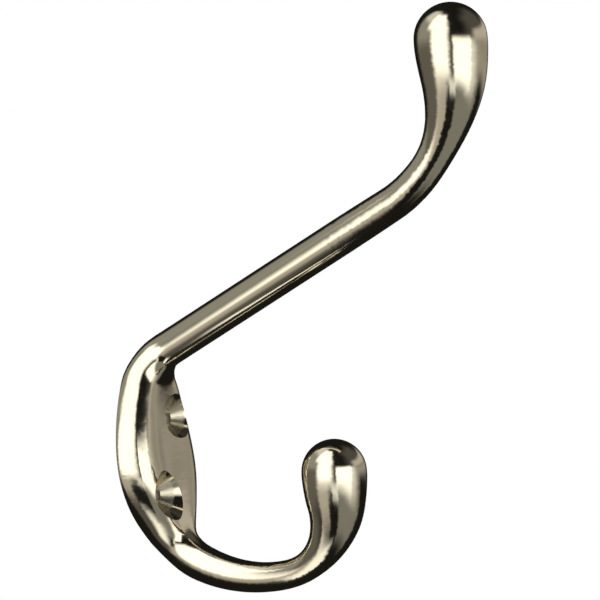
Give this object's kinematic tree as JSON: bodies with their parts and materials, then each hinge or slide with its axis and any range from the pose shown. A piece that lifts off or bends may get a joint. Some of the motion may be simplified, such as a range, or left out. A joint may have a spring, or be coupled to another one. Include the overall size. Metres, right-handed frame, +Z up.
{
  "type": "coat and hat hook",
  "caption": "Cast rod coat hook with a long upper arm and a short lower J, both ball-tipped, on a leaf-shaped back with diagonal countersunk screw holes.",
  "frame": {"origin": "midway between the two screw holes, on the wall plane that the flat back lies on", "axes": "+Z is up the wall, -Y points out of the wall along the reach of the arms, +X is to the right of a person facing the wall"},
  "size_m": [0.0263, 0.0976, 0.1237],
  "materials": {
    "polished_nickel": "polished warm nickel plate over a zinc casting"
  },
  "bodies": {
    "root": {"hook": "polished_nickel"}
  },
  "joints": []
}
